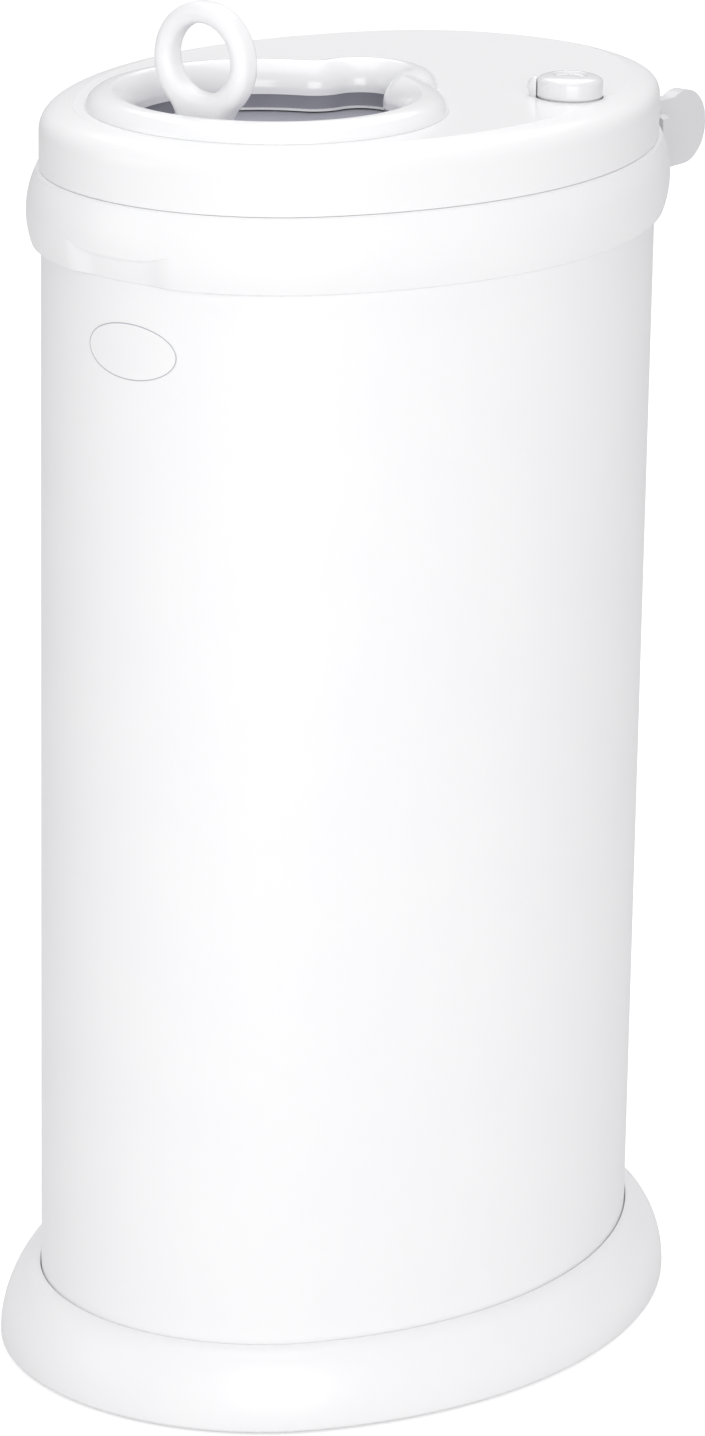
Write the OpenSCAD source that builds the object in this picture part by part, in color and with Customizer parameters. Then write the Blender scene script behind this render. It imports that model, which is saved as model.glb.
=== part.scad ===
// Oval steel nappy bin with a hinged lid, a sliding cover and a lock button.
// Millimetres, +Z up, origin on the floor under the middle of the whole bin.
// -Y is the front with the finger ledge, +Y is the rear with the hinge.

/* [Body] */
// Half width of the steel body
body_b = 108; // [102:1:114]
// How much smaller the radius of the two rounded ends is than the half width
end_tight = 18; // [16:1:20]
// Height of the seam between the rim band and the lid
seam_z = 497; // [420:1:560]
// Thickness of the steel wall
steel_t = 1; // [0.8:0.1:1.5]
/* [Base] */
// How far the skirt flares out past the body
skirt_flare = 17; // [14:0.5:20]
// Height of the skirt
skirt_h = 33; // [30:1:38]
// Wall of the moulded skirt
skirt_t = 3; // [2.4:0.1:3.6]
// Height that the rubber feet lift the skirt off the floor
foot_lift = 1.2; // [0.8:0.1:2]
// Radius of a rubber foot
foot_r = 8; // [6:0.5:9]
/* [Rim band] */
// Height of the rim band
band_h = 30; // [27:1:34]
// How far the middle of the band bulges past the body
band_bulge = 5.9; // [5.2:0.1:6.6]
// Radius of the bulge, seen in section
band_r = 38; // [34:1:46]
// Depth of the finger ledge under the front of the band
ledge_depth = 3.9; // [2.8:0.1:4.2]
/* [Lid] */
// Height of the lid above the seam
lid_h = 24.5; // [23:0.5:28]
// Radius of the shoulder of the lid
shoulder_r = 10; // [8:0.5:11]
// Thickness of the top of the lid
deck_t = 3.5; // [2.5:0.1:3.5]
// Side wall of the lid
lid_wall = 2.5; // [2:0.1:3]
/* [Throat] */
// Radius of the throat
throat_r = 54; // [48:0.5:56]
// Distance of the throat behind the front of the body
throat_back = 88; // [86:0.5:92]
// Half width of the slot that the handle slides into
slot_half = 12.5; // [12:0.5:14]
// Width of the raised roll around the throat
roll_w = 18; // [16:0.5:20]
// Distance of the roll's crest from the throat wall
crest_in = 7; // [5:0.5:9]
// Height of the raised roll
roll_h = 7; // [6:0.5:9]
// Thickness of the rubber seal under the throat
seal_t = 5.5; // [4:0.1:6]
/* [Sliding cover] */
// Travel of the cover from shut to open
cover_travel = 100; // [96:1:100]
// Thickness of the cover plate
cover_t = 3; // [2:0.1:3.5]
// Mean radius of the ring handle
ring_r = 19; // [17:0.5:20]
// Half of the handle's thickness, seen from the front
ring_half_w = 4.2; // [3.6:0.1:4.5]
// Half of the handle's depth, front to rear
ring_half_d = 6.5; // [5:0.1:7]
// Half width of the handle's neck
neck_half = 11.3; // [10:0.1:11.5]
/* [Lock] */
// Radius of the lock button
button_r = 13.3; // [12:0.1:13.6]
// Height of the lock button above the lid
button_h = 9; // [7:0.5:11]
// Travel of the lock button
button_travel = 3; // [2:0.5:3]
/* [Hinge] */
// Radius of the hinge pin
pin_r = 3; // [2.5:0.1:3.5]
// Radius of the hinge ears
ear_r = 15.5; // [13:0.5:16.5]
// Distance of the pin behind the body
pin_back = 12; // [11.5:0.5:14]
// Distance of the pin below the seam
pin_drop = 9; // [8:0.5:11]
// Half of the span over the two hinge ears
ear_half = 52; // [48:1:54]

/* [Hidden] */
$fn = 96;

white = [0.97, 0.97, 0.97];
grey = [0.62, 0.62, 0.66];
steel = [0.78, 0.78, 0.80];
rubber = [0.45, 0.45, 0.50];
fine = 180;
slack = 0.3;
running = 0.05;

// The oval is four tangent arcs, two long sides and two round ends. Their centres make 3-4-5 triangles,
// so the arcs join at round numbers.
end_r = body_b - end_tight;
end_y = 3 * end_tight;
side_x = 4 * end_tight;
side_r = end_r + 5 * end_tight;
body_a = end_y + end_r;

skirt_arc_r = (skirt_h * skirt_h + pow(skirt_flare - 1.5, 2)) / (2 * (skirt_flare - 1.5));
shell_z0 = foot_lift + 12.8;
web_t = 3;
band_z0 = seam_z - band_h;
band_mid_z = seam_z - 17;
bridge_z = seam_z - 10;
bridge_t = 3.5;
shell_top = bridge_z - 0.1;
lid_z0 = seam_z + 0.25;
lid_z1 = seam_z + lid_h;
lid_out = 1.2;
lid_in = lid_out - lid_wall;
deck_z = lid_z1 - deck_t;
rim_out = -1.9;
rim_t = 2.5;
rim_z0 = seam_z - 2;
gasket_z = bridge_z + bridge_t;
tray_z = seam_z + 1.5;
tray_t = 2.5;

throat_y = -body_a + throat_back;
slot_y = throat_y + throat_r + 7;
blend_r = 16;
blend_up = (pow(throat_r + blend_r, 2) - pow(slot_half + blend_r, 2) + pow(slot_y - throat_y, 2))
    / (2 * (slot_y - throat_y));
blend_x = sqrt(pow(throat_r + blend_r, 2) - blend_up * blend_up);
throat_wall = 3;
collar_z = deck_z - 2.4;
seal_out = 3;
retainer_t = 0.8;
flank_r = 14;
seal_z = collar_z - seal_t;
retainer_z = seal_z - retainer_t;

cover_r = throat_r + seal_out;
cover_z1 = retainer_z - 0.6;
cover_z0 = cover_z1 - cover_t;
cover_back_y = throat_y + 23;
ring_y = throat_y - 38;
ring_z = lid_z1 + 24;
rail_x = cover_r + 0.4;
rail_t = 2.5;
rail_lip = 4.4;
rail_z0 = cover_z0 - 0.5 - 3;
rail_front = throat_y - 44;
rail_rear = cover_back_y + cover_travel + 20;
rail_flange = 6.4;
rail_screw_x = rail_x + 4.4;
rail_screw_y = [rail_front + 8, (rail_front + rail_rear) / 2, rail_rear - 8];

button_flange = button_r + 1;
housing_in = button_flange + 0.3;
housing_t = 1.2;
housing_z0 = tray_z + tray_t + 1.2;
housing_ear = [75, 300];
housing_screw_r = housing_in + 4.3;
button_x = rail_x + rail_t + housing_in + housing_t + 0.3;
button_y = 41.3;
stud_r = 3.8;
stud_turn = 218;
arm_t = 2.6;
arm_z0 = cover_z1 + 0.5;
arm_tip = [cover_r + 1, cover_back_y - 3];
button_z0 = arm_z0 + arm_t;
spring_r = 5;
wire_r = 0.5;
pilot_r = 1.15;

pin_y = body_a + pin_back;
pin_z = seam_z - pin_drop;
ear_t = 6;
barrel_r = 5.5;
barrel_half = ear_half - ear_t - 0.4;

boss_r = 4;
boss_in = -9;
edge_in = -30;
side_boss = 28;
end_boss = 60;
function side_point(t, ang) = [-side_x + (side_r + t) * cos(ang), (side_r + t) * sin(ang)];
function end_point(t, ang) = [(end_r + t) * cos(ang), end_y + (end_r + t) * sin(ang)];
boss_points = [for (sx = [-1, 1], sy = [-1, 1])
    each [[sx * side_point(boss_in, side_boss)[0], sy * side_point(boss_in, side_boss)[1]],
          [sx * end_point(boss_in, end_boss)[0], sy * end_point(boss_in, end_boss)[1]]]];
foot_points = [for (sx = [-1, 1], sy = [-1, 1])
    each [[sx * side_point(-3, 18)[0], sy * side_point(-3, 18)[1]],
          [sx * end_point(-3, 62)[0], sy * end_point(-3, 62)[1]]]];
ear_screw_z = [pin_z - 12, pin_z + 3];
frame_y = (pin_y + ear_r - body_a - skirt_flare) / 2;
ear_foot_x = ear_half - ear_t / 2;
ear_screw_x = ear_foot_x - 7.5;
arm_screw_x = 14;
arm_screw_z = seam_z + 8;
arm_plate_t = 3.5;

// Moves a piece so that the origin lies under the middle of the whole bin
module placed() {
    translate([0, -frame_y, 0]) children();
}

// Flat oval at a distance t outside the steel wall
module oval(t) {
    join_y = (side_r + t) * 0.6;
    intersection() {
        translate([-side_x, 0]) circle(side_r + t, $fn = 2 * fine);
        translate([side_x, 0]) circle(side_r + t, $fn = 2 * fine);
        square([2 * (body_b + t) + 2, 2 * join_y], center = true);
    }
    for (s = [-1, 1]) translate([0, s * end_y]) circle(end_r + t, $fn = fine);
}

// Carries a section round the oval: x is the distance outside the steel wall, y is the height
module round_oval() {
    far_x = 4 * body_b;
    far_y = end_y + 3 * body_b;
    for (s = [-1, 1]) {
        intersection() {
            translate([-s * side_x, 0, 0]) rotate_extrude($fn = 2 * fine) translate([side_r, 0]) children();
            linear_extrude(2 * seam_z)
                polygon([[0, -end_y], [0, end_y], [s * far_x, far_y], [s * far_x, -far_y]]);
        }
        intersection() {
            translate([0, s * end_y, 0]) rotate_extrude($fn = fine) translate([end_r, 0]) children();
            linear_extrude(2 * seam_z)
                polygon([[0, s * end_y], [far_x, s * far_y], [-far_x, s * far_y]]);
        }
    }
}

// Rectangle from a low corner to a high corner
module span(x0, z0, x1, z1) {
    translate([x0, z0]) square([x1 - x0, z1 - z0]);
}

// Oval plate or ring with straight walls
module oval_plate(t, z0, z1) {
    translate([0, 0, z0]) linear_extrude(z1 - z0) oval(t);
}

// Outline of the throat with its handle slot, at a distance t outside the throat wall
module keyhole(t) {
    translate([0, throat_y]) circle(throat_r + t, $fn = fine);
    translate([0, slot_y]) circle(slot_half + t);
    difference() {
        polygon([[0, throat_y], [blend_x, throat_y + blend_up],
            [0, slot_y], [-blend_x, throat_y + blend_up]]);
        for (s = [-1, 1]) translate([s * blend_x, throat_y + blend_up]) circle(blend_r - t);
    }
}

module keyhole_ring(t_in, t_out, z0, z1) {
    translate([0, 0, z0]) linear_extrude(z1 - z0) difference() {
        keyhole(t_out);
        keyhole(t_in);
    }
}

// Outline of the sliding cover
module cover_outline(t) {
    translate([0, throat_y]) circle(cover_r + t, $fn = fine);
    translate([0, cover_back_y]) circle(cover_r + t, $fn = fine);
    translate([-cover_r - t, throat_y]) square([2 * (cover_r + t), cover_back_y - throat_y]);
}

// Pan head screw standing on its head at the origin, shank up
module screw(shank_r, length, head_r) {
    head_h = head_r * 0.7;
    difference() {
        union() {
            translate([0, 0, -head_h]) cylinder(r = head_r, h = head_h, $fn = 32);
            cylinder(r = shank_r, h = length, $fn = 24);
        }
        for (a = [0, 90]) rotate([0, 0, a])
            translate([-head_r * 0.6, -0.3, -head_h - 0.1]) cube([head_r * 1.2, 0.6, 0.8]);
    }
}

module skirt_profile() {
    arc_x = skirt_flare - skirt_arc_r;
    difference() {
        intersection() {
            translate([arc_x, foot_lift + 2]) circle(skirt_arc_r, $fn = fine);
            span(0.3, foot_lift, skirt_flare + 1, skirt_h);
        }
        difference() {
            translate([arc_x, foot_lift]) circle(skirt_arc_r - skirt_t, $fn = fine);
            span(-6, foot_lift, 2.6, skirt_h + 2);
        }
        translate([0, skirt_h - 1]) circle(1.2, $fn = 32);
    }
    span(-9, shell_z0 - web_t, 2.6, shell_z0);
}

module base_skirt() {
    placed() color(white) difference() {
        union() {
            round_oval() skirt_profile();
            for (p = foot_points) translate([p[0], p[1], foot_lift])
                cylinder(r = foot_r + 1.5, h = shell_z0 - web_t - foot_lift + 1);
        }
        for (p = foot_points) translate([p[0], p[1], 0]) cylinder(r = foot_r + 0.1, h = foot_lift + 1.5);
        difference() {
            oval_plate(0.3, shell_z0, skirt_h + 1);
            oval_plate(-12, shell_z0 - 1, skirt_h + 2);
        }
        for (p = foot_points) translate([p[0] * 0.95, p[1] * 0.95, shell_z0 - 8]) cylinder(r = 1.3, h = 9);
    }
}

module rubber_feet() {
    placed() color(rubber) for (p = foot_points) translate([p[0], p[1], 0]) {
        cylinder(r = foot_r, h = foot_lift + 1.4);
    }
}

module floor_pan() {
    rib_pitch = body_a * 0.236;
    placed() color(steel) difference() {
        union() {
            difference() {
                oval_plate(-steel_t - 0.2, shell_z0, shell_z0 + 14);
                oval_plate(-steel_t - 1.4, shell_z0 + 1.2, shell_z0 + 15);
            }
            for (i = [-2:2]) translate([0, i * rib_pitch, shell_z0 + 1.2]) intersection() {
                rotate([0, 90, 0]) cylinder(r = 1.6, h = 120, center = true, $fn = 48);
                translate([-60, -3, 0]) cube([120, 6, 3]);
            }
        }
        for (p = foot_points) translate([p[0] * 0.95, p[1] * 0.95, shell_z0 - 1]) cylinder(r = 2.1, h = 4);
    }
}

module floor_screws() {
    placed() color(steel) for (p = foot_points)
        translate([p[0] * 0.95, p[1] * 0.95, shell_z0 + 1.2]) rotate([180, 0, 0]) screw(1.2, 8, 3.2);
}

module body_shell() {
    placed() color(white) difference() {
        oval_plate(0, shell_z0, shell_top);
        oval_plate(-steel_t, shell_z0 - 1, shell_top + 1);
    }
}

module band_profile() {
    intersection() {
        translate([band_bulge - band_r, band_mid_z]) circle(band_r, $fn = fine);
        span(0.1, band_z0, band_bulge + 1, seam_z);
    }
    span(-12, bridge_z, 1, bridge_z + bridge_t);
    span(-steel_t - 3, bridge_z - 13, -steel_t - 0.2, bridge_z + 1);
}

module rim_band() {
    scoop_r = 16;
    scoop_y = -body_a - band_bulge + ledge_depth - scoop_r;
    ledge_z = band_mid_z - 0.5;
    placed() color(white) difference() {
        round_oval() band_profile();
        intersection() {
            translate([0, scoop_y, ledge_z]) rotate([0, 90, 0])
                cylinder(r = scoop_r, h = 90, center = true);
            translate([-45, scoop_y, ledge_z - scoop_r]) cube([90, scoop_r + 1, scoop_r]);
        }
        for (s = [-1, 1], z = ear_screw_z) translate([s * ear_screw_x, pin_y - 40, z])
            rotate([-90, 0, 0]) cylinder(r = 1.25, h = 40, $fn = 24);
    }
}

module rim_gasket() {
    placed() color(rubber) round_oval() {
        span(-7, gasket_z, -1.5, gasket_z + 2.4);
        translate([-3.2, gasket_z + 2.2]) circle(1.9, $fn = 48);
    }
}

module bag_ring() {
    placed() color(grey) {
        round_oval() {
            span(-16, gasket_z, -8.2, gasket_z + 2.4);
            span(-16, gasket_z - 13, -13.4, gasket_z + 2);
        }
    }
}

module hinge_ears() {
    foot_y = end_y + sqrt(pow(end_r + band_bulge, 2) - pow(ear_half, 2));
    placed() color(white) for (s = [-1, 1]) difference() {
        union() {
            intersection() {
                round_oval() span(band_bulge + 0.1, band_z0 + 4, band_bulge + 4, seam_z - 0.5);
                translate([s * ear_foot_x - 12, 0, 0]) cube([24, 2 * body_a, seam_z]);
            }
            intersection() {
                translate([s * ear_half - (s > 0 ? ear_t : 0), 0, 0]) {
                    translate([0, pin_y, pin_z]) rotate([0, 90, 0]) cylinder(r = ear_r, h = ear_t);
                    translate([0, foot_y - 8, pin_z - ear_r])
                        cube([ear_t, pin_y - foot_y + 8, 2 * ear_r - 2]);
                }
                difference() {
                    translate([-body_b, 0, pin_z - ear_r]) cube([2 * body_b, 2 * body_a, 2 * ear_r]);
                    oval_plate(band_bulge + 0.1, pin_z - 30, pin_z + 30);
                }
            }
        }
        translate([-ear_half - 1, pin_y, pin_z]) rotate([0, 90, 0])
            cylinder(r = pin_r + running, h = 2 * ear_half - 0.5);
        for (z = ear_screw_z) translate([s * ear_screw_x, pin_y - 40, z])
            rotate([-90, 0, 0]) cylinder(r = 1.7, h = 60, $fn = 24);
    }
}

module ear_screws() {
    y0 = end_y + sqrt(pow(end_r + band_bulge + 4, 2) - pow(ear_screw_x, 2));
    placed() color(steel) for (s = [-1, 1], z = ear_screw_z)
        translate([s * ear_screw_x, y0 + 1.5, z]) rotate([90, 0, 0]) screw(1.2, 9, 2.8);
}

module hinge_pin() {
    placed() color(steel) translate([-ear_half - 0.3, pin_y, pin_z]) rotate([0, 90, 0]) {
        cylinder(r = pin_r, h = 2 * ear_half - 1.4);
        translate([0, 0, -1.6]) cylinder(r = pin_r + 1.6, h = 1.6);
    }
}

module lid_profile() {
    shoulder_x = lid_out - shoulder_r;
    shoulder_z = lid_z1 - shoulder_r;
    difference() {
        union() {
            span(edge_in, lid_z0, lid_out, shoulder_z);
            span(edge_in, shoulder_z - 1, shoulder_x, lid_z1);
            translate([shoulder_x, shoulder_z]) circle(shoulder_r, $fn = 64);
        }
        span(edge_in - 1, lid_z0 - shoulder_r, lid_in, shoulder_z);
        span(edge_in - 1, shoulder_z - 1, shoulder_x, deck_z);
        intersection() {
            translate([shoulder_x, shoulder_z]) circle(shoulder_r - lid_wall, $fn = 64);
            span(shoulder_x - 1, shoulder_z - 1, lid_out, deck_z);
        }
    }
    span(rim_out - rim_t, rim_z0, rim_out, lid_z0 + 2);
    span(rim_out - rim_t, lid_z0, lid_in + 0.5, lid_z0 + 2);
}

module lid_cover() {
    placed() color(white) difference() {
        union() {
            round_oval() lid_profile();
            oval_plate(edge_in + 2, deck_z, lid_z1);
            for (p = boss_points) translate([p[0], p[1], tray_z + tray_t])
                cylinder(r = boss_r, h = deck_z - tray_z - tray_t + 1);
            translate([button_x, button_y, lid_z1 - 1]) rotate([0, 0, stud_turn])
                translate([button_r - 1, 0, 0]) {
                    cylinder(r = stud_r, h = button_h - stud_r, $fn = 48);
                    translate([0, 0, button_h - stud_r]) sphere(r = stud_r, $fn = 48);
                }
        }
        for (p = boss_points) translate([p[0], p[1], tray_z]) cylinder(r = 1.25, h = lid_h - 9);
        for (s = [-1, 1], y = rail_screw_y) translate([s * rail_screw_x, y, deck_z - 1])
            cylinder(r = pilot_r, h = 3.4, $fn = 24);
        for (a = housing_ear) translate([button_x, button_y, 0]) rotate([0, 0, a])
            translate([housing_screw_r, 0, deck_z - 1]) cylinder(r = pilot_r, h = 3.4, $fn = 24);
        for (x = [-arm_screw_x, arm_screw_x]) translate([x, body_a - 12, arm_screw_z])
            rotate([-90, 0, 0]) cylinder(r = 1.65, h = 20, $fn = 24);
        translate([0, 0, deck_z - 1]) linear_extrude(deck_t + 2) keyhole(throat_wall + 0.1);
        translate([button_x, button_y, deck_z - 1])
            cylinder(r = button_r + slack, h = deck_t + button_h + 2);
    }
}

module hinge_arm() {
    plate_z0 = seam_z + 2;
    plate_z1 = lid_z1 - shoulder_r;
    half = 30;
    placed() color(white) difference() {
        union() {
            intersection() {
                round_oval() span(lid_out + 0.1, plate_z0, lid_out + 0.1 + arm_plate_t, plate_z1);
                translate([-half, 0, 0]) cube([2 * half, 2 * body_a, lid_z1]);
            }
            translate([0, pin_y, pin_z]) rotate([0, 90, 0])
                cylinder(r = barrel_r, h = 2 * barrel_half, center = true);
            difference() {
                for (x = [-24, 0, 24]) translate([x - 6, body_a - 8, pin_z])
                    cube([12, pin_back + 8 + 3, 14]);
                oval_plate(lid_out + 0.1, seam_z, lid_z1);
                oval_plate(band_bulge + 0.6, pin_z - 1, seam_z + 1);
                translate([-half - 8, pin_y, pin_z + 14]) rotate([0, 90, 0])
                    cylinder(r = 4, h = 2 * half + 16);
            }
        }
        translate([0, pin_y, pin_z]) rotate([0, 90, 0])
            cylinder(r = pin_r + running, h = 2 * ear_half, center = true);
        for (x = [-arm_screw_x, arm_screw_x]) translate([x, body_a - 12, arm_screw_z])
            rotate([-90, 0, 0]) cylinder(r = 1.7, h = 20, $fn = 24);
    }
}

module arm_screws() {
    placed() color(steel) for (x = [-arm_screw_x, arm_screw_x])
        translate([x, end_y + sqrt(pow(end_r + lid_out + 0.1 + arm_plate_t, 2) - x * x) + 0.5, arm_screw_z])
            rotate([90, 0, 0]) screw(1.6, 6.2, 2.6);
}

module lid_tray() {
    placed() color(white) difference() {
        union() {
            oval_plate(rim_out - rim_t - 0.4, tray_z, tray_z + tray_t);
            translate([0, throat_y, tray_z - 10]) cylinder(r = throat_r + 5.5, h = 10 + tray_t, $fn = fine);
        }
        translate([0, throat_y, tray_z - 11]) cylinder(r = throat_r + 3, h = 20, $fn = fine);
        for (p = boss_points) translate([p[0], p[1], tray_z - 1]) cylinder(r = 1.7, h = tray_t + 2);
    }
}

module tray_screws() {
    placed() color(steel) for (p = boss_points) translate([p[0], p[1], tray_z]) screw(1.2, 12, 3);
}

// Circle of radius r whose upper left (side 1) or lower right (side -1) arc spans two points
function arc_centre(a, b, r) = let (d = norm(b - a), h = sqrt(r * r - d * d / 4))
    (a + b) / 2 + h / d * [b[1] - a[1], a[0] - b[0]];

// Raised roll around the throat, in section: x is the distance outside the throat wall
module roll_section(h) {
    crest = [crest_in, lid_z1 + h];
    intersection() {
        translate(arc_centre([0, deck_z], crest, flank_r)) circle(flank_r, $fn = fine);
        translate(arc_centre(crest, [roll_w, lid_z1], flank_r)) circle(flank_r, $fn = fine);
        span(0, lid_z1, roll_w, lid_z1 + h + 1);
    }
}

// Space above the inner flank of the roll, in section, from the axis out to the crest
module flank_room(wall_r, lift) {
    difference() {
        span(0, lid_z1, wall_r + crest_in, lid_z1 + roll_h + 3);
        translate([wall_r, lift] + arc_centre([0, deck_z], [crest_in, lid_z1 + roll_h], flank_r))
            circle(flank_r, $fn = fine);
    }
}

module throat_ring() {
    slot_h = roll_h - 0.8;
    placed() color(white) difference() {
        union() {
            translate([0, throat_y, 0]) rotate_extrude($fn = fine)
                translate([throat_r, 0]) roll_section(roll_h);
            difference() {
                union() {
                    translate([0, slot_y, 0]) rotate([90, 0, 0]) linear_extrude(slot_y - throat_y)
                        for (s = [0, 1]) mirror([s, 0]) translate([slot_half, 0]) roll_section(slot_h);
                    intersection() {
                        translate([0, slot_y, 0]) rotate_extrude()
                            translate([slot_half, 0]) roll_section(slot_h);
                        translate([-body_b, slot_y, 0]) cube([2 * body_b, body_b, 2 * seam_z]);
                    }
                }
                translate([0, throat_y, 0]) rotate_extrude($fn = fine) flank_room(throat_r, 0.3);
            }
            translate([0, 0, collar_z]) linear_extrude(lid_z1 + 1 - collar_z) keyhole(throat_wall);
        }
        translate([0, 0, collar_z - 1]) linear_extrude(lid_z1 + roll_h + 2 - collar_z) keyhole(0);
        translate([0, slot_y, 0]) rotate_extrude() flank_room(slot_half, 0);
        translate([0, slot_y, 0]) rotate([90, 0, 0]) linear_extrude(slot_y - throat_y - throat_r / 2)
            for (s = [0, 1]) mirror([s, 0]) flank_room(slot_half, 0);
    }
}

module throat_seal() {
    placed() color(rubber) keyhole_ring(0.6, seal_out, seal_z, collar_z);
}

module seal_retainer() {
    placed() color(white) keyhole_ring(-0.6, seal_out, retainer_z, seal_z);
}

module rail() {
    difference() {
        rotate([90, 0, 0]) translate([0, 0, -rail_rear]) linear_extrude(rail_rear - rail_front) {
            span(rail_x, rail_z0, rail_x + rail_t, deck_z);
            span(rail_x - rail_lip, rail_z0, rail_x + rail_t, rail_z0 + 3);
            span(rail_x, deck_z - 2.5, rail_x + rail_flange, deck_z);
        }
        for (y = rail_screw_y) translate([rail_screw_x, y, deck_z - 4]) cylinder(r = 1.3, h = 6, $fn = 24);
    }
}

module left_rail() {
    placed() color(grey) mirror([1, 0, 0]) rail();
}

module right_rail() {
    placed() color(grey) difference() {
        rail();
        translate([rail_x - rail_lip - 1, arm_tip[1] - 5, arm_z0 - button_travel - 1.4])
            cube([rail_lip + rail_t + 2, 30, arm_t + button_travel + 2.4]);
        translate([button_x, button_y, housing_z0]) cylinder(r = housing_in + housing_t + 0.2, h = deck_z);
    }
}

module rail_screws() {
    placed() color(steel) for (s = [-1, 1], y = rail_screw_y)
        translate([s * rail_screw_x, y, deck_z - 2.5]) screw(1.1, 4.6, 1.8);
}

module lock_housing() {
    placed() color(grey) translate([button_x, button_y, 0]) difference() {
        union() {
            translate([0, 0, housing_z0]) cylinder(r = housing_in + housing_t, h = deck_z - housing_z0);
            for (a = housing_ear) rotate([0, 0, a]) translate([0, -3.5, deck_z - 2.5])
                cube([housing_in + 7, 7, 2.5]);
        }
        translate([0, 0, housing_z0 + 1.8]) cylinder(r = housing_in, h = deck_z);
        rotate([0, 0, atan2(arm_tip[1] - button_y, arm_tip[0] - button_x)])
            translate([5, -7, housing_z0 + 1.8]) cube([20, 14, lid_h]);
        for (a = housing_ear) rotate([0, 0, a]) translate([housing_screw_r, 0, deck_z - 4])
            cylinder(r = 1.5, h = 6, $fn = 24);
    }
    placed() color(grey) translate([button_x, button_y, housing_z0 + 1]) cylinder(r = 3, h = 8);
}

module housing_screws() {
    placed() color(steel) for (a = housing_ear) translate([button_x, button_y, 0]) rotate([0, 0, a])
        translate([housing_screw_r, 0, deck_z - 2.5]) screw(1.1, 4.6, 1.8);
}

module cover_plate() {
    placed() color(grey) difference() {
        union() {
            translate([0, 0, cover_z0]) linear_extrude(cover_t) cover_outline(0);
            translate([0, 0, cover_z0 - 2.5]) linear_extrude(4) difference() {
                cover_outline(-7);
                cover_outline(-9);
            }
        }
        translate([arm_tip[0] - 4.2, arm_tip[1] - 3.5, cover_z0 - 3]) cube([10, 15, 10]);
        for (x = [-7, 7]) translate([x, ring_y, cover_z0 - 1]) cylinder(r = 1.7, h = cover_t + 2, $fn = 24);
    }
}

module ring_handle() {
    fillet_r = 14;
    fillet_x = neck_half + fillet_r;
    fillet_z = ring_z - sqrt(pow(ring_r + ring_half_w + fillet_r, 2) - fillet_x * fillet_x);
    web_half = 3.6;
    flat = ring_half_d - ring_half_w;
    placed() color(white) difference() {
        union() {
            translate([0, ring_y, ring_z]) rotate([90, 0, 0]) rotate_extrude() translate([ring_r, 0]) {
                for (s = [-1, 1]) translate([0, s * flat]) circle(ring_half_w, $fn = 48);
                square([2 * ring_half_w, 2 * flat], center = true);
            }
            translate([0, ring_y, 0]) rotate([90, 0, 0]) linear_extrude(2 * web_half, center = true)
                difference() {
                    polygon([[-fillet_x, fillet_z], [0, ring_z], [fillet_x, fillet_z]]);
                    for (s = [-1, 1]) translate([s * fillet_x, fillet_z]) circle(fillet_r);
                    translate([0, ring_z]) circle(ring_r);
                }
            translate([0, ring_y, cover_z1]) linear_extrude(ring_z - ring_r - cover_z1) {
                for (s = [-1, 1]) translate([s * (neck_half - ring_half_d), 0]) circle(ring_half_d);
                square([2 * (neck_half - ring_half_d), 2 * ring_half_d], center = true);
            }
        }
        for (x = [-7, 7]) translate([x, ring_y, cover_z1 - 1]) cylinder(r = 1.2, h = 9, $fn = 24);
    }
}

module handle_screws() {
    placed() color(steel) for (x = [-7, 7]) translate([x, ring_y, cover_z0]) screw(1.15, cover_t + 6, 2.8);
}

module lock_button() {
    top = lid_z1 + button_h;
    edge_r = 1;
    placed() color(white) translate([button_x, button_y, 0]) difference() {
        union() {
            translate([0, 0, button_z0]) cylinder(r = button_r, h = top - button_z0 - edge_r);
            rotate_extrude() {
                translate([button_r - edge_r, top - edge_r]) circle(edge_r, $fn = 32);
                span(0, top - 2 * edge_r, button_r - edge_r, top);
            }
            translate([0, 0, deck_z - slack - 2]) cylinder(r = button_flange, h = 2);
        }
        translate([0, 0, button_z0 - 1]) cylinder(r = spring_r + 1.5, h = top - button_z0 - 3);
        translate([0, 0, top]) rotate_extrude() translate([7, 0]) circle(1.1, $fn = 32);
        translate([0, 0, top + 9]) sphere(r = 10.4);
    }
}

module lock_arm() {
    dir = atan2(arm_tip[1] - button_y, arm_tip[0] - button_x);
    reach = norm([arm_tip[0] - button_x, arm_tip[1] - button_y]);
    placed() color(steel) difference() {
        union() {
            translate([button_x, button_y, arm_z0]) cylinder(r = button_r - 2, h = arm_t);
            translate([button_x, button_y, arm_z0]) rotate([0, 0, dir]) translate([0, -3, 0])
                cube([reach, 6, arm_t]);
        }
        translate([button_x, button_y, arm_z0 - 1]) cylinder(r = spring_r + 1.5, h = arm_t + 2);
    }
}

// Open coil spring between the housing floor and the button
module lock_spring() {
    z0 = housing_z0 + 1.8 + wire_r;
    z1 = lid_z1 + button_h - 4 - wire_r;
    turns = 9;
    steps = 14;
    sides = 6;
    rings = turns * steps;
    pts = [for (i = [0:rings], k = [0:sides - 1]) let (a = 360 * i / steps, c = 360 * k / sides,
        rr = spring_r + wire_r * cos(c))
        [rr * cos(a), rr * sin(a), z0 + (z1 - z0) * i / rings + wire_r * sin(c)]];
    skin = [for (i = [0:rings - 1], k = [0:sides - 1]) let (a = i * sides + k,
        b = i * sides + (k + 1) % sides) each [[a, b, a + sides], [b, b + sides, a + sides]]];
    first = [for (k = [1:sides - 2]) [0, k + 1, k]];
    last = [for (k = [1:sides - 2]) [rings * sides, rings * sides + k, rings * sides + k + 1]];
    placed() color(steel) translate([button_x, button_y, 0]) polyhedron(pts, concat(skin, first, last));
}

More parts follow.
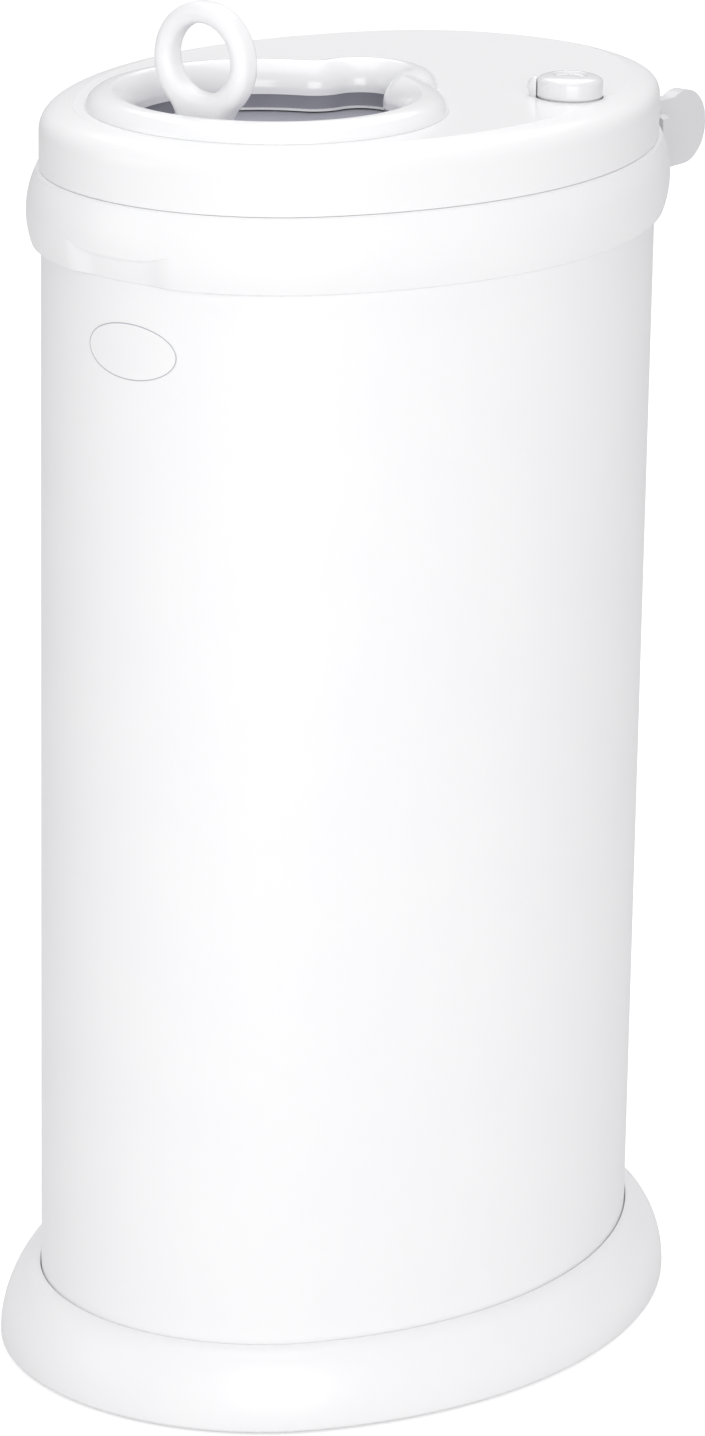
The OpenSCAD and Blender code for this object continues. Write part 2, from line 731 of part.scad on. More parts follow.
base_skirt();
rubber_feet();
floor_pan();
floor_screws();
body_shell();
rim_band();
rim_gasket();
bag_ring();
hinge_ears();
ear_screws();
hinge_pin();
lid_cover();
hinge_arm();
arm_screws();
lid_tray();
tray_screws();
throat_ring();
throat_seal();
seal_retainer();
left_rail();
right_rail();
rail_screws();
lock_housing();
housing_screws();
cover_plate();
ring_handle();
handle_screws();
lock_button();
lock_arm();
lock_spring();
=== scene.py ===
import math

import bmesh
import bpy
from mathutils import Matrix, Vector


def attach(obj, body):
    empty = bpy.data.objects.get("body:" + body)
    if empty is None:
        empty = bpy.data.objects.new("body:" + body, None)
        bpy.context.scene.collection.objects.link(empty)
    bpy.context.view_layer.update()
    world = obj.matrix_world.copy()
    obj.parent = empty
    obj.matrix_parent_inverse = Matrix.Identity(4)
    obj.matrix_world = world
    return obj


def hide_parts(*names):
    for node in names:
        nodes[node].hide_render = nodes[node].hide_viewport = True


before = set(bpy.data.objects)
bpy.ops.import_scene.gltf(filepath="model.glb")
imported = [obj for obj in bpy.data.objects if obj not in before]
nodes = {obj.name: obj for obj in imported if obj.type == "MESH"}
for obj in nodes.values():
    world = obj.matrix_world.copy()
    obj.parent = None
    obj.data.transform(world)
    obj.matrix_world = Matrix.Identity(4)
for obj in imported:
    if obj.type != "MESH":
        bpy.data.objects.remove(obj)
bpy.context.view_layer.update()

# Lengths are in millimetres, measured from the floor point under the middle of the steel body,
# which stands a little in front of the middle of the whole bin.
BODY_Y = -5.25

# The oval is made of two tight ends, front and rear, and two slack sides.
BODY_B = 108.0
END_R, END_Y = 90.0, 54.0
SIDE_R, SIDE_X = 180.0, 72.0
SIDE_TURN = math.degrees(math.atan2(3, 4))

# The skirt on its feet, the steel wall in it, and the bare oval badge on the wall
FOOT_LIFT = 1.2
STEEL, STEEL_LOW, STEEL_HIGH = 1.0, 14.0, 486.9
BADGE_A, BADGE_B = 21.3, 11.2
BADGE_X, BADGE_Z = 4.0, 439.6

# The bulging band and its finger ledge
BAND_LOW, BAND_LIP = 467.0, 2.7
BULGE_R, BULGE_Z, BULGE_IN = 38.0, 480.0, 32.1
LEDGE_Z, LEDGE_HALF, LEDGE_END = 479.5, 26.0, 34.0
LEDGE_DROOP, LEDGE_RISE, LEDGE_DEPTH = 2.4, 3.4, 2.4
SEAM_Z = 497.0

# The lid
LID_TOP, LID_UNDER = 521.5, 518.0
LID_OUT = 0.85
DECK_RIM = -12.6

# The keyhole of the throat, and the roll round it
THROAT_Y, THROAT_R = -56.0, 54.0
SLOT_Y, SLOT_HALF = 5.0, 12.5
BLEND_R, BLEND_OUT = 16.0, 3.0
ROLL_W, UNDER_ROLL = 18.0, 3.1

# The cover's ring: a round hole in a round disc, on a neck with wide fillets
COVER_TOP = 508.7
RING_Y, RING_Z, RING_R = -94.0, 545.5, 23.2
NECK_HALF, NECK_FILLET = 11.3, 14.0
HOLE_R, HOLE_LIFT, HOLE_SQUASH = 14.9, 0.95, 0.93

# The button and the stop beside it
BUTTON = Vector((76.0, 41.3, 0))
BUTTON_R, BUTTON_GAP = 13.3, 0.3
STUD_TURN = math.radians(216)
STUD_R = 3.8


def at(x, y, z):
    return Vector((x, y + BODY_Y, z)) * 0.001


def put(name, data):
    """Adds an object with this data to the scene."""
    thing = bpy.data.objects.new(name, data)
    bpy.context.scene.collection.objects.link(thing)
    return thing


def make_camera():
    """The camera stands where the photograph was taken from."""
    side = math.radians(38)
    down = math.radians(17.83)
    roll = math.radians(0.88)
    look = Vector((-math.sin(side) * math.cos(down), math.cos(side) * math.cos(down),
                   -math.sin(down)))
    right = Vector((math.cos(side), math.sin(side), 0))
    up = right.cross(look)
    right_rolled = right * math.cos(roll) + up * math.sin(roll)
    up_rolled = up * math.cos(roll) - right * math.sin(roll)
    data = bpy.data.cameras.new("photo_camera")
    data.lens = 151.8
    data.shift_x = 0.0057
    data.shift_y = 0.0338
    data.clip_start = 0.05
    camera = put("photo_camera", data)
    turn = Matrix((right_rolled, up_rolled, -look)).transposed()
    camera.matrix_world = Matrix.Translation(at(1469.4, -1880.8, 1003.4)) @ turn.to_4x4()
    bpy.context.scene.camera = camera


# Materials
def new_group(name, inputs, outputs):
    group = bpy.data.node_groups.new(name, "ShaderNodeTree")
    for label, kind, value in inputs:
        socket = group.interface.new_socket(label, in_out="INPUT", socket_type=kind)
        socket.default_value = value
    for label, kind in outputs:
        group.interface.new_socket(label, in_out="OUTPUT", socket_type=kind)
    start = group.nodes.new("NodeGroupInput")
    end = group.nodes.new("NodeGroupOutput")
    return group, start, end


def spread(group, noise):
    """Eases the middle of a noise out to a whole range."""
    node = group.nodes.new("ShaderNodeMapRange")
    node.interpolation_type = "SMOOTHSTEP"
    node.inputs["From Min"].default_value = 0.2
    node.inputs["From Max"].default_value = 0.8
    group.links.new(noise.outputs["Fac"], node.inputs["Value"])
    return node


def moulding_group():
    """Slow waviness, fine grain and a slight cloudiness, as on moulded or painted parts."""
    group, start, end = new_group(
        "surface_grain",
        [
            ("Color", "NodeSocketColor", (0.8, 0.8, 0.8, 1)),
            ("Cloud Color", "NodeSocketColor", (0.75, 0.75, 0.78, 1)),
            ("Grain Scale", "NodeSocketFloat", 900.0),
            ("Wave Scale", "NodeSocketFloat", 30.0),
            ("Wave Share", "NodeSocketFloat", 0.5),
            ("Rough Low", "NodeSocketFloat", 0.3),
            ("Rough High", "NodeSocketFloat", 0.42),
        ],
        [
            ("Color", "NodeSocketColor"),
            ("Roughness", "NodeSocketFloat"),
            ("Height", "NodeSocketFloat"),
        ],
    )
    link = group.links.new
    coord = group.nodes.new("ShaderNodeTexCoord")
    grain = group.nodes.new("ShaderNodeTexNoise")
    grain.inputs["Detail"].default_value = 3
    link(coord.outputs["Object"], grain.inputs["Vector"])
    link(start.outputs["Grain Scale"], grain.inputs["Scale"])
    wave = group.nodes.new("ShaderNodeTexNoise")
    wave.inputs["Detail"].default_value = 1
    link(coord.outputs["Object"], wave.inputs["Vector"])
    link(start.outputs["Wave Scale"], wave.inputs["Scale"])
    height = group.nodes.new("ShaderNodeMix")
    height.data_type = "FLOAT"
    link(start.outputs["Wave Share"], height.inputs["Factor"])
    link(grain.outputs["Fac"], height.inputs["A"])
    link(wave.outputs["Fac"], height.inputs["B"])
    link(height.outputs["Result"], end.inputs["Height"])
    rough = spread(group, wave)
    link(start.outputs["Rough Low"], rough.inputs["To Min"])
    link(start.outputs["Rough High"], rough.inputs["To Max"])
    link(rough.outputs["Result"], end.inputs["Roughness"])
    tint = group.nodes.new("ShaderNodeMix")
    tint.data_type = "RGBA"
    link(spread(group, wave).outputs["Result"], tint.inputs["Factor"])
    link(start.outputs["Color"], tint.inputs["A"])
    link(start.outputs["Cloud Color"], tint.inputs["B"])
    link(tint.outputs["Result"], end.inputs["Color"])
    return group


GRAIN = moulding_group()


def finish_material(name, color, cloud, rough, scales, wave_share, bump, metallic=0.0,
                    coat=0.0, specular=0.5):
    """A surface with a grain and a slower wave, whose two noise scales are given per metre."""
    material = bpy.data.materials.new(name)
    material.use_nodes = True
    tree = material.node_tree
    shader = tree.nodes["Principled BSDF"]
    shader.inputs["Metallic"].default_value = metallic
    shader.inputs["Coat Weight"].default_value = coat
    shader.inputs["Coat Roughness"].default_value = 0.12
    shader.inputs["Specular IOR Level"].default_value = specular
    grain = tree.nodes.new("ShaderNodeGroup")
    grain.node_tree = GRAIN
    for label, value in (
        ("Color", (*color, 1)),
        ("Cloud Color", (*cloud, 1)),
        ("Grain Scale", scales[0]),
        ("Wave Scale", scales[1]),
        ("Wave Share", wave_share),
        ("Rough Low", rough[0]),
        ("Rough High", rough[1]),
    ):
        grain.inputs[label].default_value = value
    relief = tree.nodes.new("ShaderNodeBump")
    relief.inputs["Strength"].default_value = bump
    relief.inputs["Distance"].default_value = 0.0004
    tree.links.new(grain.outputs["Color"], shader.inputs["Base Color"])
    tree.links.new(grain.outputs["Roughness"], shader.inputs["Roughness"])
    tree.links.new(grain.outputs["Height"], relief.inputs["Height"])
    tree.links.new(relief.outputs["Normal"], shader.inputs["Normal"])
    return material


WHITE = (0.92, 0.92, 0.922)
WHITE_MOULDING = finish_material(
    "white_moulding", WHITE, (0.905, 0.905, 0.91), (0.3, 0.38), (1400, 22), 0.3, 0.06, coat=0.15)
LID_MOULDING = finish_material(
    "lid_moulding", WHITE, WHITE, (0.3, 0.3), (1400, 18), 0.0, 0.02, coat=0.25)
LIP_MOULDING = finish_material(
    "lip_moulding", WHITE, (0.91, 0.91, 0.915), (0.16, 0.22), (1400, 18), 0.0, 0.02, coat=0.5)
POWDER_COAT = finish_material(
    "white_powder_coat", WHITE, (0.91, 0.91, 0.915), (0.36, 0.44), (700, 26), 0.25, 0.12)
# The hinge ears are the same white plastic drawn darker: painted shade for the shade on their
# outward faces.
EAR_PAINTED_SHADE = finish_material(
    "ear_painted_shade", (0.72, 0.72, 0.728), (0.7, 0.7, 0.71), (0.34, 0.42), (1400, 22), 0.3, 0.06)
# The button and its stud are white plastic drawn darker: painted shade for the shade that falls on
# them.
BUTTON_PAINTED_SHADE = finish_material(
    "button_painted_shade", (0.8, 0.8, 0.805), (0.785, 0.785, 0.795), (0.16, 0.22), (1400, 22), 0.3,
    0.03, coat=0.4)
GREY_MOULDING = finish_material(
    "grey_moulding", (0.42, 0.42, 0.46), (0.39, 0.39, 0.43), (0.45, 0.55), (1600, 40), 0.2, 0.12)
# The cover plate is grey, and its dark tone also paints in the shade down inside the throat.
COVER_GREY_AND_SHADE = finish_material(
    "cover_grey_and_painted_shade", (0.36, 0.36, 0.41), (0.33, 0.33, 0.38), (0.4, 0.5), (1500, 30), 0.2, 0.1)
SOFT_RUBBER = finish_material(
    "soft_rubber", (0.3, 0.3, 0.345), (0.27, 0.27, 0.31), (0.6, 0.75), (2200, 60), 0.3, 0.2,
    specular=0.3)
PLAIN_STEEL = finish_material(
    "plain_steel", (0.6, 0.6, 0.62), (0.52, 0.52, 0.55), (0.28, 0.42), (1800, 90), 0.3, 0.08,
    metallic=1.0)
BADGE_FACE = finish_material(
    "badge_face", WHITE, (0.905, 0.905, 0.91), (0.3, 0.36), (1600, 40), 0.2, 0.05)
BADGE_EDGE = finish_material(
    "badge_edge", (0.5, 0.5, 0.54), (0.46, 0.46, 0.5), (0.35, 0.45), (1600, 40), 0.2, 0.08)

FINISHES = {
    WHITE_MOULDING: ("base_skirt", "rim_band", "hinge_arm", "lid_tray", "seal_retainer",
                     "ring_handle"),
    BUTTON_PAINTED_SHADE: ("lock_button",),
    EAR_PAINTED_SHADE: ("hinge_ears",),
    LID_MOULDING: ("lid_cover",),
    LIP_MOULDING: ("throat_ring",),
    POWDER_COAT: ("body_shell", "floor_pan"),
    GREY_MOULDING: ("bag_ring", "left_rail", "right_rail", "lock_housing"),
    COVER_GREY_AND_SHADE: ("cover_plate",),
    SOFT_RUBBER: ("rubber_feet", "rim_gasket", "throat_seal"),
    PLAIN_STEEL: ("floor_screws", "ear_screws", "hinge_pin", "arm_screws", "tray_screws",
                  "rail_screws", "housing_screws", "handle_screws", "lock_arm", "lock_spring"),
}


def dress_nodes():
    for material, names in FINISHES.items():
        for name in names:
            node = nodes[name]
            node.data.materials.clear()
            node.data.materials.append(material)


# Shaping
def add_piece(name, form, materials, body, replaced=(), crease=35):
    """Puts a finished form, drawn in millimetres, in its place and hands it to its body."""
    bmesh.ops.remove_doubles(form, verts=form.verts, dist=0.002)
    bmesh.ops.recalc_face_normals(form, faces=form.faces)
    bmesh.ops.translate(form, verts=form.verts, vec=(0, BODY_Y, 0))
    bmesh.ops.scale(form, verts=form.verts, vec=(0.001, 0.001, 0.001))
    for face in form.faces:
        face.smooth = True
    mesh = bpy.data.meshes.new(name)
    form.to_mesh(mesh)
    form.free()
    mesh.set_sharp_from_angle(angle=math.radians(crease))
    for material in materials:
        mesh.materials.append(material)
    piece = put(name, mesh)
    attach(piece, body)
    if replaced:
        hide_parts(*replaced)
    return piece


def arc(cx, cz, r, start, end, steps):
    """Points of a section along an arc, angles in degrees."""
    turns = [math.radians(start + (end - start) * i / steps) for i in range(steps + 1)]
    return [(cx + r * math.cos(a), cz + r * math.sin(a)) for a in turns]


def strand(form, points):
    """A chain of edges through the points."""
    verts = [form.verts.new(p) for p in points]
    edges = [form.edges.new(pair) for pair in zip(verts, verts[1:])]
    return verts, edges


def turned(centre, section, steps):
    """A section of (radius, height) turned once round an upright line."""
    form = bmesh.new()
    verts, edges = strand(form, [centre + Vector((r, 0, z)) for r, z in section])
    bmesh.ops.spin(form, geom=verts + edges, cent=centre, axis=(0, 0, 1), angle=2 * math.pi,
                   steps=steps, use_merge=True, use_duplicate=False)
    return form


def sweep_oval(form, section, closed=False, front_steps=64):
    """Carries a section of (distance outside the wall, height) once round the oval."""
    verts, edges = strand(form, [(BODY_B + t, 0, z) for t, z in section])
    if closed:
        edges.append(form.edges.new((verts[-1], verts[0])))
    geom = verts + edges
    turns = [
        ((-SIDE_X, 0), SIDE_TURN, 24),
        ((0, END_Y), 180 - 2 * SIDE_TURN, 64),
        ((SIDE_X, 0), 2 * SIDE_TURN, 48),
        ((0, -END_Y), 180 - 2 * SIDE_TURN, front_steps),
        ((-SIDE_X, 0), SIDE_TURN, 24),
    ]
    for (x, y), angle, steps in turns:
        swept = bmesh.ops.spin(form, geom=geom, cent=(x, y, 0), axis=(0, 0, 1),
                               angle=math.radians(angle), steps=steps, use_merge=False,
                               use_duplicate=False)
        geom = [g for g in swept["geom_last"] if not isinstance(g, bmesh.types.BMFace)]
    bmesh.ops.remove_doubles(form, verts=form.verts, dist=0.01)


def loft(form, rings):
    """Faces from each ring of points to the next; gives the first and the last ring's edges."""
    verts, edges = strand(form, rings[0])
    edges.append(form.edges.new((verts[-1], verts[0])))
    first = edges
    for ring in rings[1:]:
        order = {tuple(vert.co): i for i, vert in enumerate(verts)}
        grown = bmesh.ops.extrude_edge_only(form, edges=edges)["geom"]
        edges = [g for g in grown if isinstance(g, bmesh.types.BMEdge)]
        fresh = [g for g in grown if isinstance(g, bmesh.types.BMVert)]
        verts = [None] * len(ring)
        for vert in fresh:
            i = order[tuple(vert.co)]
            verts[i] = vert
            vert.co = ring[i]
    return first, edges


def spun(form, tip, centre, axis, angle, steps):
    """Draws an arc of edges on from a vertex and gives the vertex at its end."""
    swept = bmesh.ops.spin(form, geom=[tip], cent=centre, axis=axis, angle=angle, steps=steps,
                           use_merge=False, use_duplicate=False)
    return [g for g in swept["geom_last"] if isinstance(g, bmesh.types.BMVert)][0]


def points_of(outline):
    points = [vert.co.copy() for vert in outline.verts]
    outline.free()
    return points


def circle(cx, cy, z, r, segments):
    outline = bmesh.new()
    bmesh.ops.create_circle(outline, segments=segments, radius=r,
                            matrix=Matrix.Translation((cx, cy, z)))
    return points_of(outline)


def keyhole(x, z):
    """The outline of the throat and its slot at a distance x outside the throat wall."""
    r = THROAT_R + x
    h = SLOT_HALF + x
    blend = BLEND_R - (BLEND_R - BLEND_OUT) * min(x, ROLL_W) / ROLL_W
    gap = SLOT_Y - THROAT_Y
    up = ((r + blend) ** 2 - (h + blend) ** 2 + gap * gap) / (2 * gap)
    out = math.sqrt((r + blend) ** 2 - up * up)
    lean = math.atan2(up, out)
    slot_lean = math.atan2(up - gap, out)
    outline = bmesh.new()
    start = outline.verts.new((r * math.cos(lean), THROAT_Y + r * math.sin(lean), z))
    tip = start
    for cx, cy, angle, steps in (
        (0, THROAT_Y, -(math.pi + 2 * lean), 132),
        (-out, THROAT_Y + up, lean - slot_lean, 14),
        (0, SLOT_Y, -(math.pi - 2 * slot_lean), 36),
        (out, THROAT_Y + up, lean - slot_lean, 14),
    ):
        tip = spun(outline, tip, (cx, cy, z), (0, 0, 1), angle, steps)
    return points_of(outline)[:-1]


def bend(a, b, c, steps):
    """Points of a section on a soft corner from a to c, pulled towards b."""
    points = []
    for i in range(steps + 1):
        f = i / steps
        points.append(tuple((1 - f) ** 2 * p + 2 * f * (1 - f) * q + f * f * r
                            for p, q, r in zip(a, b, c)))
    return points


def curve(a, b, c, d, steps):
    """Points of a section on a smooth curve from a to d, with b and c as handles."""
    points = []
    for i in range(steps + 1):
        f = i / steps
        g = 1 - f
        weights = (g ** 3, 3 * f * g * g, 3 * f * f * g, f ** 3)
        points.append(tuple(sum(w * p[k] for w, p in zip(weights, (a, b, c, d)))
                            for k in (0, 1)))
    return points


def make_wall():
    form = bmesh.new()
    sweep_oval(form, [(0, STEEL_LOW), (0, STEEL_HIGH), (-STEEL, STEEL_HIGH), (-STEEL, STEEL_LOW)],
               closed=True)
    add_piece("steel_wall", form, [POWDER_COAT], "bin", ["body_shell"])


def make_skirt():
    low = FOOT_LIFT
    section = bend((0.7, 33), (5.36, 33), (8.37, 29), 8)
    section += arc(-25.88, 3.2, 42.88, 35.5, 2, 22)
    section += bend((17, 3.0), (17, low), (15.2, low), 6)
    section += [(14, low)] + arc(-25.88, low, 39.88, 4, 44, 12)
    section += [(2.6, 29.1), (2.6, 11), (-9, 11), (-9, STEEL_LOW), (0.3, STEEL_LOW), (0.3, 32.4)]
    form = bmesh.new()
    sweep_oval(form, section, closed=True)
    side, end = math.radians(18), math.radians(62)
    pads = (
        (-SIDE_X + (SIDE_R - 3) * math.cos(side), (SIDE_R - 3) * math.sin(side)),
        ((END_R - 3) * math.cos(end), END_Y + (END_R - 3) * math.sin(end)),
    )
    for x, y in pads:
        for sx in (-1, 1):
            for sy in (-1, 1):
                bmesh.ops.create_cone(form, cap_ends=True, segments=48, radius1=9.5, radius2=9.8,
                                      depth=10.8, matrix=Matrix.Translation((sx * x, sy * y, 6.6)))
    add_piece("flared_skirt", form, [WHITE_MOULDING], "bin", ["base_skirt"])


def bulge(z):
    """How far the band stands out from the wall at a height."""
    return -BULGE_IN + math.sqrt(BULGE_R ** 2 - (z - BULGE_Z) ** 2)


def make_band():
    heights = [467.6, 468.2, 469, 469.6]
    heights += [470 + 0.5 * i for i in range(19)]
    heights += [LEDGE_Z - 0.15, LEDGE_Z + 0.15]
    heights += [480.2, 481.5, 483, 485, 487, 489, 491, 493, 495, 496.4]
    section = [(BAND_LIP, BAND_LOW)] + [(bulge(z), z) for z in heights]
    section += [(1.3, SEAM_Z - 0.15), (1.1, SEAM_Z), (0.1, SEAM_Z), (0.1, 490.5), (-12, 490.5)]
    section += [(-12, 487), (-4, 487), (-4, 474), (-1.2, 474), (-1.2, 487), (0.1, 487)]
    section += [(0.1, BAND_LOW)]
    form = bmesh.new()
    sweep_oval(form, section, closed=True, front_steps=144)
    shape_ledge(form)
    add_piece("bulged_band", form, [WHITE_MOULDING], "bin", ["rim_band"], crease=28)


def shape_ledge(form):
    """Draws the band's crease down at the front and sets the wall under it back."""
    for vert in form.verts:
        x, y, z = vert.co
        out = math.hypot(x, y + END_Y)
        if y > -110 or abs(x) > LEDGE_END or out < END_R + 2 or z > 496:
            continue
        reach = abs(x) / LEDGE_HALF
        shift = LEDGE_RISE * min(1, reach) ** 3 - LEDGE_DROOP
        share = min(1, max(0, (LEDGE_END - abs(x)) / (LEDGE_END - LEDGE_HALF)))
        z += shift * max(0, 1 - abs(z - LEDGE_Z) / 11.5) * share
        fade = min(1, max(0, (27 - abs(x)) / 15))
        fade *= fade * (3 - 2 * fade)
        depth = LEDGE_DEPTH * fade if vert.co.z < LEDGE_Z else 0
        k = (END_R + (bulge(z) if z > 467.3 else BAND_LIP) - depth) / out
        vert.co = (x * k, -END_Y + (y + END_Y) * k, z)


def make_lid():
    bottom = SEAM_Z + 0.12
    section = [(DECK_RIM, LID_TOP), (-12.35, LID_TOP), (-12.2, LID_TOP - 0.12)]
    section += [(-11.9, LID_TOP - 0.17)]
    section += curve((-11.75, LID_TOP - 0.1), (-4.5, LID_TOP - 1.5), (LID_OUT, 519.3),
                     (LID_OUT, 511.5), 26)
    section += [(LID_OUT, bottom + 1)]
    section += bend((LID_OUT, bottom + 0.3), (LID_OUT, bottom), (LID_OUT - 0.3, bottom), 3)
    section += [(-1.9, bottom), (-1.9, 495), (-4.4, 495), (-4.4, 499.25), (-2, 499.25)]
    section += arc(-6, 513.5, 4, 0, 80, 8)
    section += [(-7, LID_UNDER), (DECK_RIM, LID_UNDER)]
    form = bmesh.new()
    sweep_oval(form, section)
    rims = [edge for edge in form.edges if len(edge.link_faces) == 1]
    decks = (LID_TOP, LID_UNDER)
    throat = loft(form, [keyhole(UNDER_ROLL, z) for z in decks])
    button = loft(form, [circle(BUTTON.x, BUTTON.y, z, BUTTON_R + BUTTON_GAP, 96)
                         for z in decks])
    for k, z in enumerate(decks):
        rim = [edge for edge in rims if abs(edge.verts[0].co.z - z) < 0.1]
        bmesh.ops.triangle_fill(form, edges=rim + throat[k] + button[k], use_beauty=True,
                                use_dissolve=False, normal=(0, 0, 1))
    make_stud(form)
    add_piece("lid_shell", form, [LID_MOULDING, BUTTON_PAINTED_SHADE], "lid", ["lid_cover"])


def make_stud(form):
    """Small rounded stop beside the button."""
    out = Vector((math.cos(STUD_TURN), math.sin(STUD_TURN), 0))
    section = [(2.7, 520.8), (2.8, 521.6), (3.1, 522.6), (3.5, 523.9)]
    section += arc(0, 525.6, STUD_R, -10, 90, 12)[:-1] + [(0.001, 525.6 + STUD_R)]
    ball = turned(BUTTON + out * (BUTTON_R - 0.3), section, 40)
    bmesh.ops.remove_doubles(ball, verts=ball.verts, dist=0.01)
    bmesh.ops.bisect_plane(ball, geom=ball.verts[:] + ball.edges[:] + ball.faces[:], dist=0.0001,
                           plane_co=BUTTON + out * (BUTTON_R + 0.03), plane_no=out,
                           clear_inner=True)
    open_edges = [edge for edge in ball.edges if len(edge.link_faces) == 1]
    bmesh.ops.holes_fill(ball, edges=open_edges, sides=0)
    # The stud takes the button's darker white, which is painted shade.
    for face in ball.faces:
        face.material_index = 1
    mesh = bpy.data.meshes.new("stud")
    ball.to_mesh(mesh)
    ball.free()
    form.from_mesh(mesh)
    bpy.data.meshes.remove(mesh)


def make_lip():
    section = [(0, 515.6), (0, 517)] + arc(13.9, 516.3, 14, 173, 123, 14)[:-1]
    section += bend((6.33, 528.12), (7, 528.5), (7.77, 528.47), 5)
    section += bend((8.2, 528.42), (14.2, 527.8), (16.5, 524.2), 10)
    section += bend((16.8, 523.7), (17.5, 522.4), (17.6, 521.7), 4)
    section += [(17.3, 521.4), (3, 521.4), (3, 515.6), (0, 515.6)]
    form = bmesh.new()
    loft(form, [keyhole(x, z) for x, z in section])
    add_piece("throat_lip", form, [LIP_MOULDING], "lid", ["throat_ring"], crease=40)


def handle_loop(inset, y):
    """Outline of the ring and its neck, drawn in by the inset, in the plane at y."""
    neck = NECK_HALF - inset
    reach = NECK_HALF + NECK_FILLET
    drop = math.sqrt((RING_R + NECK_FILLET) ** 2 - reach ** 2)
    tangent = math.atan2(drop, reach)
    outline = bmesh.new()
    verts, _ = strand(outline, [(-neck, y, COVER_TOP), (-neck, y, RING_Z - drop)])
    tip = verts[1]
    for x, z, angle, steps in (
        (-reach, RING_Z - drop, tangent, 12),
        (0, RING_Z, -(math.pi + 2 * tangent), 72),
        (reach, RING_Z - drop, tangent, 12),
    ):
        tip = spun(outline, tip, (x, y, z), (0, -1, 0), angle, steps)
    outline.verts.new((neck, y, COVER_TOP))
    return points_of(outline)


def hole_loop(inset, y):
    """Outline of the ring's hole, widened by the inset, in the plane at y."""
    outline = bmesh.new()
    place = Matrix.Translation((0, y, RING_Z + HOLE_LIFT)) @ Matrix.Rotation(math.pi / 2, 4, "X")
    bmesh.ops.create_circle(outline, segments=96, radius=HOLE_R + inset,
                            matrix=place @ Matrix.Diagonal((1, HOLE_SQUASH, 1, 1)))
    return points_of(outline)


def make_handle():
    form = bmesh.new()
    round_r, half = 4.1, 5.8
    steps = [math.radians(11.25 * i) for i in range(9)]
    rear = [(round_r * (1 - math.cos(a)), -(half - round_r) - round_r * math.sin(a))
            for a in steps]
    rings = rear[::-1] + [(d, -y) for d, y in rear]
    outer = loft(form, [handle_loop(d, RING_Y + y) for d, y in rings])
    inner = loft(form, [hole_loop(d, RING_Y + y) for d, y in rings])
    for k, side in ((0, -1), (1, 1)):
        bmesh.ops.triangle_fill(form, edges=outer[k] + inner[k], use_beauty=True,
                                use_dissolve=False, normal=(0, side, 0))
    add_piece("ring_pull", form, [WHITE_MOULDING], "slide_cover", ["ring_handle"], crease=40)


def make_button():
    section = [(0, 529.9), (1.5, 529.88), (3, 529.8), (4.2, 529.6)]
    section += bend((4.6, 529.4), (5.5, 528.9), (6.2, 529.6), 5)
    section += bend((6.5, 530.05), (6.8, 530.45), (7.6, 530.4), 4)
    section += bend((8, 530.35), (11, 530), (12.3, 529.1), 6)
    section += bend((12.5, 528.95), (BUTTON_R, 528.3), (BUTTON_R, 527.3), 5)
    section += [(BUTTON_R, 523.5)]
    section += bend((BUTTON_R, 523), (BUTTON_R, 522), (12.8, 521.6), 5)
    section += [(12.8, 521), (12.8, 517.7), (14.3, 517.7), (14.3, 515.7), (13, 515.7)]
    section += [(13, 511.8), (6.5, 511.8), (6.5, 526.5), (0, 526.5)]
    form = turned(BUTTON, section, 96)
    add_piece("push_button", form, [BUTTON_PAINTED_SHADE], "lock", ["lock_button"])


def make_badge():
    """Bare oval badge that follows the round front of the wall."""
    a, b = BADGE_A, BADGE_B
    section = [(r, -0.3) for r in (0, 7, 14, 18, a)]
    section += [(a, 0.12), (a - 0.08, 0.18), (a - 0.34, 0.18), (a - 0.42, 0.1)]
    section += [(r, 0.1) for r in (18.5, 16, 12, 8, 4, 0)]
    form = turned(Vector((0, 0, 0)), section, 120)
    bmesh.ops.remove_doubles(form, verts=form.verts, dist=0.01)
    edge_low = a - 0.5
    for face in form.faces:
        face.material_index = 1 if face.calc_center_median().xy.length > edge_low else 0
    for vert in form.verts:
        r = vert.co.xy.length
        squash = (b - a + r) / r if r > edge_low else b / a
        turn = (vert.co.x + BADGE_X) / END_R
        reach = END_R + vert.co.z
        vert.co = (reach * math.sin(turn), -END_Y - reach * math.cos(turn),
                   BADGE_Z + vert.co.y * squash)
    add_piece("bare_badge", form, [BADGE_FACE, BADGE_EDGE], "bin")


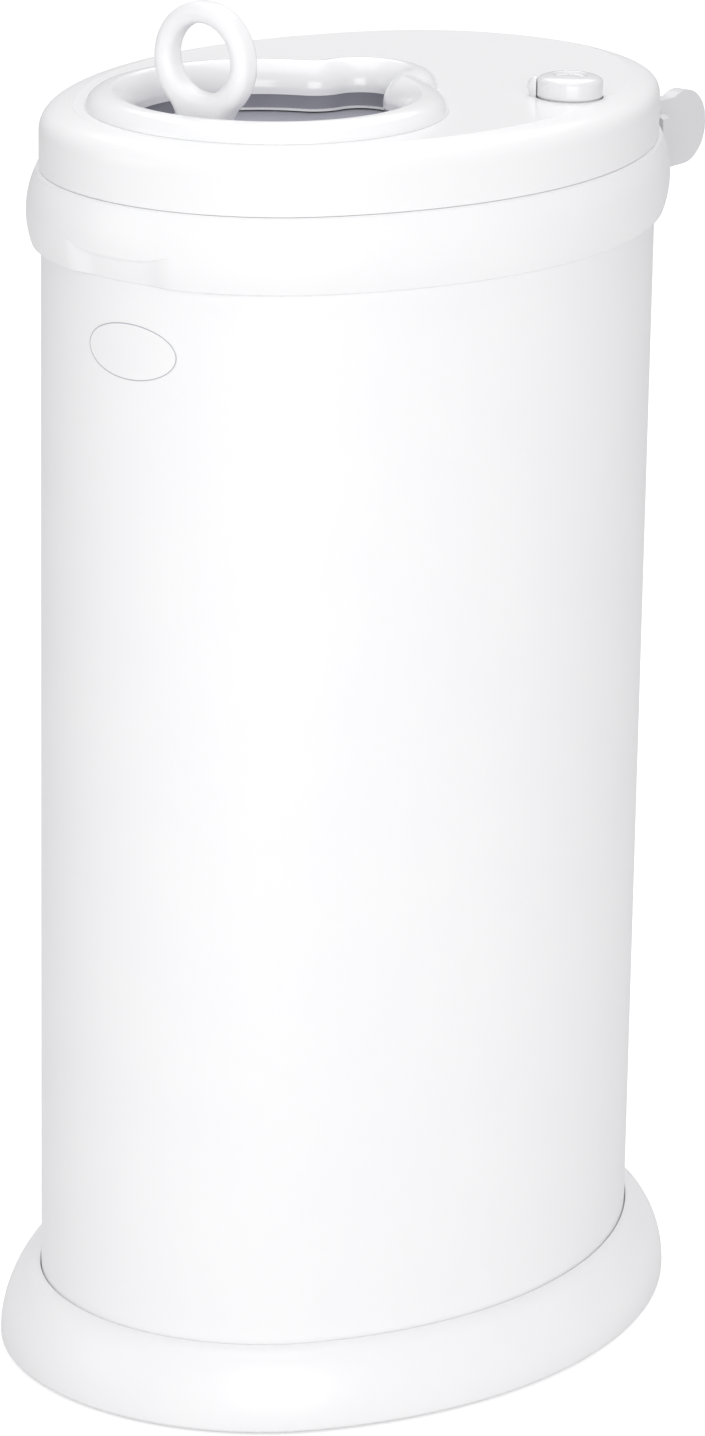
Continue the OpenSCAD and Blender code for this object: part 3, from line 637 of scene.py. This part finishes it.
# Stage
def make_stage():
    floor_mesh = bmesh.new()
    bmesh.ops.create_grid(floor_mesh, x_segments=1, y_segments=1, size=6)
    mesh = bpy.data.meshes.new("floor")
    floor_mesh.to_mesh(mesh)
    floor_mesh.free()
    floor = put("floor", mesh)
    material = bpy.data.materials.new("pale_floor")
    material.use_nodes = True
    tree = material.node_tree
    shader = tree.nodes["Principled BSDF"]
    shader.inputs["Base Color"].default_value = (0.8, 0.8, 0.8, 1)
    shader.inputs["Roughness"].default_value = 0.9
    glow = tree.nodes.new("ShaderNodeEmission")
    glow.inputs["Color"].default_value = (1, 1, 1, 1)
    seen = tree.nodes.new("ShaderNodeLightPath")
    strength = tree.nodes.new("ShaderNodeMath")
    strength.operation = "MULTIPLY"
    strength.inputs[1].default_value = 0.55
    both = tree.nodes.new("ShaderNodeAddShader")
    tree.links.new(seen.outputs["Is Camera Ray"], strength.inputs[0])
    tree.links.new(strength.outputs["Value"], glow.inputs["Strength"])
    tree.links.new(shader.outputs["BSDF"], both.inputs[0])
    tree.links.new(glow.outputs["Emission"], both.inputs[1])
    tree.links.new(both.outputs["Shader"], tree.nodes["Material Output"].inputs["Surface"])
    mesh.materials.append(material)

    world = bpy.data.worlds.new("studio")
    bpy.context.scene.world = world
    world.use_nodes = True
    tree = world.node_tree
    sky = tree.nodes["Background"]
    sky.inputs["Color"].default_value = (0.985, 0.98, 1.0, 1)
    sky.inputs["Strength"].default_value = 0.565
    white = tree.nodes.new("ShaderNodeBackground")
    white.inputs["Color"].default_value = (1, 1, 1, 1)
    white.inputs["Strength"].default_value = 1.0
    seen = tree.nodes.new("ShaderNodeLightPath")
    mix = tree.nodes.new("ShaderNodeMixShader")
    tree.links.new(seen.outputs["Is Camera Ray"], mix.inputs["Fac"])
    tree.links.new(sky.outputs["Background"], mix.inputs[1])
    tree.links.new(white.outputs["Background"], mix.inputs[2])
    tree.links.new(mix.outputs["Shader"], tree.nodes["World Output"].inputs["Surface"])


def soft_light(name, side, up, distance, size, power):
    """Softbox at an azimuth from the front towards the right and at an elevation, in degrees."""
    data = bpy.data.lights.new(name, "AREA")
    data.shape = "RECTANGLE"
    data.size = data.size_y = size
    data.energy = power
    light = put(name, data)
    a, e = math.radians(side), math.radians(up)
    aim = Vector((math.sin(a) * math.cos(e), -math.cos(a) * math.cos(e), math.sin(e)))
    place = Vector((0, 0, 0.3)) + aim * distance
    turn = aim.to_track_quat("Z", "Y").to_matrix()
    light.matrix_world = Matrix.Translation(place) @ turn.to_4x4()


def make_lights():
    soft_light("front_softbox", 48, 14, 3.2, 2.2, 43)
    soft_light("left_softbox", -35, 14, 3.0, 1.8, 7)
    soft_light("rear_softbox", 215, 58, 2.4, 1.8, 16)
    soft_light("top_softbox", 20, 82, 2.3, 1.8, 11)


make_camera()
dress_nodes()
make_wall()
make_skirt()
make_band()
make_lid()
make_lip()
make_handle()
make_button()
make_badge()
make_stage()
make_lights()
bpy.context.scene.view_settings.view_transform = "Standard"
